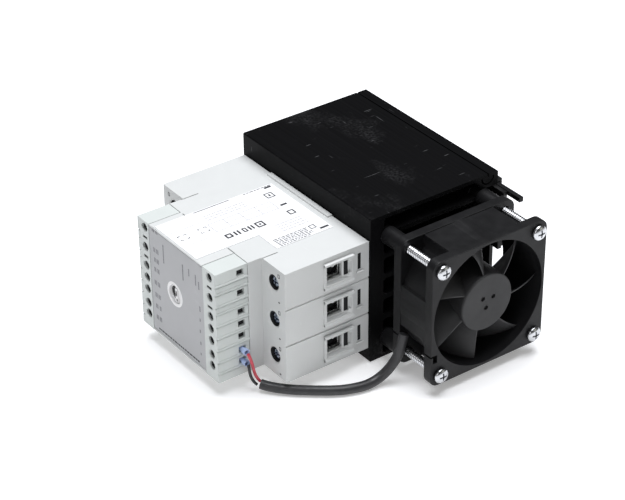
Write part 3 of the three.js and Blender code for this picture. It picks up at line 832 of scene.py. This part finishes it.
def frame_lips():
    """Thin lips over and under the raised frames of the load side, and a ledge under each vent slot."""
    lips = bmesh.new()
    for pole in POLES:
        for way in (1, -1):
            edge = [(0.2, pole + way * 6.3), (-1.1, pole + way * 6.2), (-1.2, pole + way * 5.8),
                    (-0.7, pole + way * 4.9), (0.2, pole + way * 4.9)]
            add_prism(lips, "x", edge, -23.5, -8.9)
        add_prism(lips, "x", [(0.2, pole - 3.4), (-0.5, pole - 3.5), (0.2, pole - 4.4)], -6.9, -3.6)
    piece("frame_lips", lips, "root", "housing_grey", bevel=0.08)


def front_panel():
    y, z = DIAL
    bm = from_node("front_panel")
    for vert in bm.verts:
        vert.co.x = max(vert.co.x, PANEL)
    hole = turned("x", y, z, [(0, -66), (4.9, -66), (4.9, -58), (0, -58)], 64)
    piece("panel_plate", cut(bm, hole), "root", "panel_grey", ["front_panel"], 0.25, 6)
    profile = [(4.35, FRONT + 0.15), (4.5, FRONT + 0.02), (5.5, FRONT + 0.02), (5.75, PANEL - 0.02)]
    profile += [(4.85, PANEL - 0.02), (4.85, -64.2), (4.35, -63.4)]
    piece("panel_rim", turned("x", y, z, profile, 64), "root", "dial_white")


def trim_dial():
    """A white knob with a half-round recess beside a raised pointer. A black sheet in the recess and two
    black marks on the pointer are painted shade.
    """
    y, z = DIAL
    profile = [(0, -64.1), (3.9, -64.1), (4.15, -63.85), (4.15, -59.9), (1.4, -59.9), (1.4, -55.2)]
    knob = turned("x", y, z, [*profile, (0, -55.2)], 56)

    def around(*points):
        return [(y + a, z + b) for a, b in points]

    pointer = around((-2.1, -3.2), (-0.5, -3.2), (0, 2.9), (-1.4, 3.2))
    knob = joined(knob, prism("x", pointer, -64.65, -64))

    def half_round(shrink):
        arc = [(y + 0.2 + (3.4 - shrink) * math.cos(t), z + 0.4 + (3.2 - shrink) * math.sin(t))
               for t in [math.radians(-80 + 168 * k / 14) for k in range(15)]]
        return [*arc, (y + 0.2 + shrink, z - 2.6 + shrink)]

    recess = prism("x", half_round(0), -65, -60.6)
    piece("trim_knob", cut(knob, recess), "dial", "dial_white", ["trim_dial"])
    # Painted shade: a black sheet just under the recess's rim, and two black marks on the pointer where slots
    # would lie in shade.
    dark = prism("x", half_round(0.05), -63.75, -60.8)
    add_prism(dark, "x", around((-1.5, -0.5), (-0.4, -0.3), (-0.5, 2.1), (-1.2, 1.9)), -64.68, -64.3)
    add_prism(dark, "x", around((-1.8, -2.8), (-0.9, -2.6), (-1.0, -1.5), (-1.7, -1.7)), -64.68, -64.3)
    piece("knob_shade", dark, "dial", "moulded_black")


def add_marks(bm, axis, marks, low, high):
    """Flat printed marks: each is an outline with its holes."""
    for outline, holes in marks:
        merge(bm, add_plate(bmesh.new(), axis, outline, holes, low, high))
    return bm


def printed(name, axis, marks, heights, slot, look="ink"):
    piece(name, add_marks(bmesh.new(), axis, marks, *heights), "root", slot, look=look)


def bar(a0, a1, b0, b1):
    return rounded(a0, a1, b0, b1, 0.12, 2), []


def frame_mark(a0, a1, b0, b1, width):
    return rounded(a0, a1, b0, b1, 0.3, 3), [rounded(a0 + width, a1 - width, b0 + width, b1 - width, 0.15, 3)]


def dashes(start, end, across, length, gap, width, draw):
    """A line of dashes of uneven length, as a line of small print looks from afar."""
    marks = []
    here = start
    while here < end - 0.4:
        there = min(end, here + length * draw.uniform(0.5, 1.3))
        marks.append(bar(here, there, across, across + width))
        here = there + gap
    return marks


def side_label():
    """The printed film on the top face. Its marks are plain shapes that say nothing."""
    low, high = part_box("side_label")
    low, high = TO_DEVICE @ low, TO_DEVICE @ high
    sheet = bmesh.new()
    notch = (-33.5, 31.2)
    outline = [(low.x, high.y), (low.x, notch[1]), notch, (notch[0], low.y), (high.x, low.y)]
    outline.append((high.x, high.y))
    add_prism(sheet, "z", outline, low.z, high.z)
    piece("label_film", sheet, "root", "label_white", ["side_label"])
    draw = random.Random(7)
    band = (36.3, 39.5)
    bold = [bar(*limits) for limits in (
        (-40.9, -40.0, *band), (-39.2, -38.3, *band), (-33.9, -33.0, *band), (-32.3, -31.5, *band),
        (-28.7, -27.7, 37.3, 38.4), (-10.4, -6.2, 19.8, 21.0), (-10.4, -7.0, 59.9, 61.1),
        (-45.5, -27.8, 61.3, 61.7), (-12.9, -9.7, 44.4, 45.6), (-12.2, -11.4, 53.8, 55.4),
    )]
    bold += [frame_mark(*limits) for limits in (
        (-45.2, -42.0, *band, 0.8), (-36.8, -34.8, *band, 0.6), (-30.2, -26.2, 35.8, 39.9, 0.75),
        (-13.6, -10.8, 22.0, 24.8, 0.4), (-13.8, -10.6, 36.4, 39.8, 0.6), (-13.8, -9.8, 52.6, 56.6, 0.5),
    )]
    for x, y in ((-59.2, 47.9), (-49.4, 47.9)):
        for u, v in ((-1, -1), (-1, 1), (1, -1), (1, 1)):
            bold.append(bar(*sorted((x + u * 0.7, x + u * 2.0)), *sorted((y + v * 1.6, y + v * 1.9))))
            bold.append(bar(*sorted((x + u * 1.8, x + u * 2.1)), *sorted((y + v * 0.8, y + v * 1.9))))
    bold += dashes(-20.5, -5.9, 61.3, 1.8, 0.4, 0.42, draw)
    for row in range(6):
        bold += dashes(-31.4, -13.4 + draw.uniform(-3, 1), 18.7 + row * 1.05, 1.7, 0.4, 0.42, draw)
    printed("label_print", "z", bold, (high.z + INK_GAP, high.z + 0.03), "label_white")

    faint = [frame_mark(-46.0, -14.6, 43.4, 50.4, 0.3), bar(-46.0, -14.6, 46.8, 47.05)]
    faint += [bar(x, x + 0.26, 43.4, 50.4) for x in (-38.5, -30.6, -22.7)]
    for row in range(3):
        faint += dashes(-44.0, -24.0, 53.0 + row * 1.7, 2.4, 0.6, 0.45, draw)
    for row in range(4):
        faint += dashes(-24.0, -11.0, 27.5 + row * 1.8, 2.0, 0.5, 0.45, draw)
    faint += [bar(-60.5, -51.5, 41.6, 41.85), bar(-62, -47, 53.4, 53.65)]
    printed("label_fine_print", "z", faint, (high.z + INK_GAP, high.z + 0.02), "label_white", "faint_ink")


def panel_print():
    """Plain strokes on the front panel, where the real one has its settings and indicators."""
    draw = random.Random(11)
    strokes = (
        (55.4, 45.8, 54.8), (40.9, 45.0, 52.8), (36.3, 49.4, 52.9), (31.4, 47.4, 52.6), (29.2, 46.6, 50.4),
        (29.0, 36.0, 38.6), (29.2, 31.0, 32.6), (29.4, 25.4, 27.0), (29.4, 19.4, 21.0), (29.6, 14.2, 15.4),
    )
    marks = [bar(y - 0.4, y + 0.4, low, high) for y, low, high in strokes]
    for z in (57.6, 47.8, 43.0, 38.2, 31.6, 25.4, 19.8, 14.2):
        for y in (60.2, 62.6):
            marks += dashes(y - 0.9, y + 0.9, z, 0.8, 0.2, 2.2, draw)
    printed("panel_strokes", "x", marks, (PANEL - 0.03, PANEL - INK_GAP), "panel_grey", "panel_ink")
    row = dashes(31.0, 62.6, 9.6, 1.5, 0.35, 0.8, draw)
    printed("panel_row", "x", row, (PANEL - 0.03, PANEL - INK_GAP), "panel_grey")


def block_print():
    """Small plain marks beside the screw bores."""
    marks = []
    for side in SIDES:
        y = on_side(side, 4.9)
        for z in TERMINAL_Z:
            marks.append(frame_mark(y - 0.7, y + 0.7, z + 4.0, z + 5.8, 0.3))
            marks.append(bar(y - 0.5, y + 0.5, z - 8.0, z - 7.3))
    printed("pole_marks", "x", marks, (STEP - 0.03, STEP - INK_GAP), "housing_grey")


# ---- control side ----

def control_plug(side):
    """A plug with ribs and grooves on its outer face and, on its front, screw wells and two test slits."""
    inward = 1 if side == "load" else -1
    node = f"control_plug_{side}"
    body = f"{side}_plug"
    ribs = bmesh.new()
    grooves = bmesh.new()
    for z in PLUG_RIBS:
        rib = [(0.2, z - 0.3), (-0.5, z - 0.3), (-0.6, z), (-0.3, z + 0.45), (0.2, z + 0.6)]
        rib = [(on_side(side, PLUG_OUTER + depth), height) for depth, height in rib]
        add_prism(ribs, "x", rib, FRONT, PLUG_BACK)
        add_box(grooves, (-66, -48), layer(side, PLUG_OUTER - 1, PLUG_OUTER + 0.5), (z - 0.85, z - 0.4))
    shell = joined(cut(from_node(node), grooves), ribs)
    wells = bmesh.new()
    y = on_side(side, PLUG_OUTER) + inward * 4.4
    well = [(0, -66), (2.7, -66), (2.0, FRONT + 0.2), (1.9, FRONT + 0.35), (1.9, -61), (0, -61)]
    for z in WAYS:
        add_turned(wells, "x", y, z, well, 32)
    for z in PLUG_SLITS:
        add_box(wells, (-66, -61), (y - 1.7, y + 1.7), (z - 0.6, z + 0.6))
    piece(f"plug_shell_{side}", cut(shell, wells), body, "plug_grey", [node], 0.3, 20)
    # Real screw heads, set just behind the front and coloured near-black as painted shade, so the wells read
    # dark.
    screws = bmesh.new()
    slots = bmesh.new()
    head = [(0, FRONT + 0.75), (1.6, FRONT + 0.75), (1.86, FRONT + 1), (1.86, -62), (0, -62)]
    for n, z in enumerate(WAYS):
        add_turned(screws, "x", y, z, head, 28)
        slot = box((FRONT, FRONT + 1.3), (-2, 2), (-0.28, 0.28))
        merge(slots, placed(slot, math.degrees(0.7 + 0.9 * n), "X", (0, y, z)))
    piece(f"plug_screws_{side}", cut(screws, slots), body, "screw_steel", look="screw_dark")
    # Painted shade: black blocks just inside the wire entries and the test slits, so the openings read dark.
    shade_blocks = bmesh.new()
    for z in WAYS:
        if side == "line" or z not in FERRULE_WAYS.values():
            depth = layer(side, PLUG_OUTER + 1.3, PLUG_OUTER + 1.7)
            add_box(shade_blocks, (-54.3, -51.3), depth, (z - 1.3, z + 1.3))
    for z in PLUG_SLITS:
        add_box(shade_blocks, (FRONT + 0.4, FRONT + 0.9), (y - 1.66, y + 1.66), (z - 0.56, z + 0.56))
    piece(f"way_shade_blocks_{side}", shade_blocks, body, "moulded_black")
    rounded_node(f"pins_{side}", f"pin_header_{side}", "root", "pins_brass", 0.12, 3)


def control_side():
    for side in SIDES:
        control_plug(side)
    rounded_node("control_circuit", "control_board", "root", "circuit_board", 0.12)
    rounded_node("trimmer", "trim_potentiometer", "root", "moulded_black", 0.3)


# ---- fan ----

def fan_turned(profile, count):
    """A body turned round the fan's axis."""
    return turned("y", FAN[1], FAN[0], profile, count)


def about_fan(bm, angle):
    """A shape made at the origin, turned round Y and moved onto the fan's axis."""
    return placed(bm, angle, "Y", (FAN[0], 0, FAN[1]))


def fan_frame():
    """Two flanges, a barrel with flat sides, the motor seat on four struts, and the lead's notches."""
    x, z = FAN
    bore, flange, middle = 28.6, 4.5, 29.2
    outline = rounded(z - 30, z + 30, x - 30, x + 30, 4.2, 8)
    holes = [circle(z, x, bore, 112), *(circle(b, a, FAN_HOLE, 28) for a, b in FAN_CORNERS)]
    parts = [add_plate(bmesh.new(), "y", outline, holes, low, low + flange, 0.35)
             for low in (FAN_FRONT, FAN_BACK - flange)]
    start, end = FAN_BARREL
    parts.append(fan_turned([(bore, start), (29.9, start), (29.9, end), (bore, end)], 112))
    seat = [(3.2, -27.5), (4.2, -27.5), (4.2, -12.9), (12.4, -12.9), (12.8, -12.5), (12.8, -10.9)]
    parts.append(fan_turned([*seat, (12.2, FAN_BACK), (3.2, FAN_BACK)], 64))
    for turn, half in ((0, 18), (90, 18), (180, 18), (270, 9.5)):
        reach = math.asin(half / middle)
        arc = circle(0, 0, middle, 21, reach, -2.1 * reach)
        flat = prism("y", [(29.6, -half), (29.6, half), *arc], start, end)
        parts.append(about_fan(flat, turn))
    section = [(-12.7, -1.1), (-12.2, -1.6), (-10.9, -1.6), (-10.4, -1.1), (-10.4, 1.1), (-10.9, 1.6)]
    for angle in (45, 135, 225, 315):
        strut = prism("x", [*section, (-12.2, 1.6), (-12.7, 1.1)], 11.5, 29.3)
        parts.append(about_fan(strut, angle))
    notches = bmesh.new()
    for depth in ((-36, -30.6), (-15, -10)):
        add_box(notches, (3, 6.4), depth, (19.6, 20.4))
    window = box((5.2, 7.4), (-36, -30.7), (16.6, 20.4))
    piece("fan_housing", cut(joined(*parts), notches, window), "root", "fan_black", ["fan_frame"])


def blade(bm, start):
    """One swept blade: its surface falls back round the hub with depth, and it thins to the tip."""
    x, z = FAN
    hub, tip = 12.7, 27.9
    rows, columns = 9, 15
    grid = {}
    for face in (-1, 1):
        for i in range(rows):
            out = i / (rows - 1)
            radius = hub + out * (tip - hub)
            front = -33.4 + 1.6 * out ** 3
            back = -18.0 - 1.3 * out ** 3
            for k in range(columns):
                along = k / (columns - 1)
                chord = math.radians(42 - 8 * out)
                thick = (0.75 - 0.25 * out) * (0.4 + 0.6 * math.sin(math.pi * min(1, max(0, along))) ** 0.5)
                turn = start + math.radians(10) * out - chord * along ** 0.9 + face * thick / radius
                y = front + (back - front) * along
                place = (x + radius * math.cos(turn), y, z + radius * math.sin(turn))
                grid[face, i, k] = bm.verts.new(place)
    for i in range(rows - 1):
        for k in range(columns - 1):
            for face in (-1, 1):
                bm.faces.new([grid[face, i + a, k + b] for a, b in ((0, 0), (1, 0), (1, 1), (0, 1))])
    for i in range(rows - 1):
        for k in (0, columns - 1):
            bm.faces.new((grid[-1, i, k], grid[-1, i + 1, k], grid[1, i + 1, k], grid[1, i, k]))
    for k in range(columns - 1):
        for i in (0, rows - 1):
            bm.faces.new((grid[-1, i, k], grid[-1, i, k + 1], grid[1, i, k + 1], grid[1, i, k]))
    return outward(bm)


def fan_rotor():
    """The impeller with its seven blades, the magnet ring in its cup, and the shaft in its bearing."""
    profile = [(0, -34.3), (12.3, -34.3), (12.9, -34.15), (13.25, -33.7), (13.3, -33.2), (13.3, -17.6)]
    profile += [(12.1, -17.6), (12.1, -32.8), (3, -32.8), (3, -28.6), (1.5, -28.6), (1.5, -33), (0, -33)]
    dimples = bmesh.new()
    for x, z in ((31.7, 37.3), (37.2, 36.7), (33.5, 32.5)):
        add_turned(dimples, "y", z, x, [(0, -35), (1.15, -35), (1.0, -33.3), (0, -33.2)], 20)
    cup = cut(fan_turned(profile, 96), dimples)
    blades = [blade(bmesh.new(), math.radians(46) + i * 2 * math.pi / 7) for i in range(7)]
    piece("impeller_moulding", joined(cup, *blades), "fan_rotor", "impeller_grey", ["fan_impeller"])
    ring = [(10.4, -32.2), (10.6, -32.4), (11.8, -32.4), (11.8, -18.4), (10.6, -18.4), (10.4, -18.6)]
    piece("magnet_ring", fan_turned(ring, 80), "fan_rotor", "magnet", ["fan_magnet_ring"])
    shaft = [(0, -32.4), (0.9, -32.4), (1.15, -32.1), (1.15, -13.3), (0.9, -13), (0, -13)]
    piece("motor_shaft", fan_turned(shaft, 32), "fan_rotor", "screw_steel", ["fan_shaft"])
    bearing = [(1.5, -26.9), (1.7, -27), (2.7, -27), (2.85, -26.8), (2.85, -13.5), (2.7, -13.4), (1.5, -13.4)]
    piece("sleeve_bearing", fan_turned(bearing, 48), "root", "pins_brass", ["fan_bearing"])


def stator():
    """The fan's circuit board, and four laminated poles with a copper winding on each."""
    rounded_node("stator_stack", "fan_stator", "root", "stator_steel", 0.15, 3)
    board = fan_turned([(4.6, -15.6), (12.2, -15.6), (12.2, -14.4), (4.6, -14.4)], 64)
    piece("motor_circuit", board, "root", "circuit_board", ["fan_circuit_board"])
    for n in range(4):
        winding = bmesh.new()
        for k in range(3):
            route = rounded(-2.6 - 0.35 * k, 2.6 + 0.35 * k, -29 - 0.3 * k, -19 + 0.3 * k, 1.0, 4)
            places = [Vector((5.9 + 0.81 * k, y, w)) for w, y in route]
            tube(winding, [*places, places[0]], 0.36, 8)
        piece(f"winding_{n + 1}", about_fan(winding, 90 * n), "root", "copper")


# ---- rail side ----

def rail_side():
    rounded_node("bracket_plate", "din_bracket", "root", "rail_steel_black", 0.3, 5)
    rounded_node("latch_plate", "din_latch", "latch", "rail_steel_black", 0.3, 5)
    heads = bmesh.new()
    slots = bmesh.new()
    for y, z in BRACKET_SCREWS:
        add_turned(heads, "x", y, z, [(0, 69.9), (2.3, 69.9), (2.3, 70.3), (1.9, 70.9), (0, 71.1)], 32)
        add_box(slots, (70.6, 72), (y - 2.6, y + 2.6), (z - 0.25, z + 0.25))
    piece("bracket_screws", cut(heads, slots), "root", "rail_steel_black")
    low, high = 1.1, 13.9
    turns, steps, radius, wire = 8, 14, 1.25, 0.25
    route = []
    for i in range(turns * steps + 1):
        t = i / steps * 2 * math.pi
        y = low + wire + (high - low - 2 * wire) * i / (turns * steps)
        route.append(Vector((LATCH_FRONT + 1.5 + radius * math.cos(t), y, 35 + radius * math.sin(t))))
    spring = tube(bmesh.new(), route, wire, 8)
    made = piece("latch_coil", spring, "root", "screw_steel", ["latch_spring"])
    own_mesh(made)


# ---- fan lead ----

def fan_lead():
    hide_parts("fan_lead_sheath")
    sheath.data.materials.append(LOOKS["sheath_grey"])
    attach(sheath, "root")
    for colour, route in (("red", RED_ROUTE), ("black", BLACK_ROUTE)):
        wire = tube(bmesh.new(), smooth_route(route), 0.65, 20)
        made = piece(f"lead_wire_{colour}", wire, None, f"wire_{colour}", [f"fan_wire_{colour}"])
        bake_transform(made)
    profile = [(0.8, 14.2), (1.15, 13.5), (1.38, 13.5), (1.38, 15.4), (1.05, 16.3), (1.0, 16.6), (0.95, 16.6)]
    profile += [(0.95, 21.4), (0.8, 21.6), (0, 21.6), (0, 14.4)]
    for colour, z in FERRULE_WAYS.items():
        collar = turned("y", z, -52.8, profile, 36)
        piece(f"crimp_{colour}", collar, "load_plug", "ferrule_blue", [f"ferrule_{colour}"])


# ---- stage ----

def stage():
    floor = bmesh.new()
    bmesh.ops.create_grid(floor, x_segments=1, y_segments=1, size=3)
    made = as_object("floor", floor)
    made.location = (0, 0, -0.0002)
    paper = Look("floor_paper", (0.9, 0.9, 0.905), 0.9, specular=0.1)
    paper.bump(paper.noise(60, 3), 1e-5)
    paper.set("Emission Color", (1, 1, 1, 1))
    paper.set("Emission Strength", 0.27)
    made.data.materials.append(paper.material)

    def softbox(name, place, size, power, colour, target=(0, 0, 0.03)):
        light = bpy.data.objects.new(name, bpy.data.lights.new(name, "AREA"))
        light.data.shape = "RECTANGLE"
        light.data.size, light.data.size_y = size
        light.data.energy = power
        light.data.color = colour
        light.location = place
        light.rotation_euler = (Vector(target) - Vector(place)).to_track_quat("-Z", "Y").to_euler()
        link(light)

    softbox("overhead", (0.1, 0.05, 1.3), (1.1, 1.1), 26.5, (0.955, 0.968, 1.0))
    softbox("left_front", (-1.2, -0.7, 0.75), (0.9, 0.9), 3.2, (1.0, 0.99, 1.0))
    softbox("right_front", (0.9, -1.3, 0.6), (0.8, 0.8), 1.1, (1.0, 1.0, 0.85))
    world = bpy.data.worlds.new("studio")
    world.use_nodes = True
    world.node_tree.nodes["Background"].inputs["Color"].default_value = (1, 1, 1, 1)
    world.node_tree.nodes["Background"].inputs["Strength"].default_value = 0.08
    bpy.context.scene.world = world
    bpy.context.scene.view_settings.view_transform = "Standard"
    bpy.context.scene.view_settings.look = "None"


heatsink()
power_stage()
fan_screws()
terminal_screws()
relay_housing()
frame_lips()
front_panel()
trim_dial()
side_label()
panel_print()
block_print()
control_side()
fan_frame()
fan_rotor()
stator()
rail_side()
fan_lead()
stage()
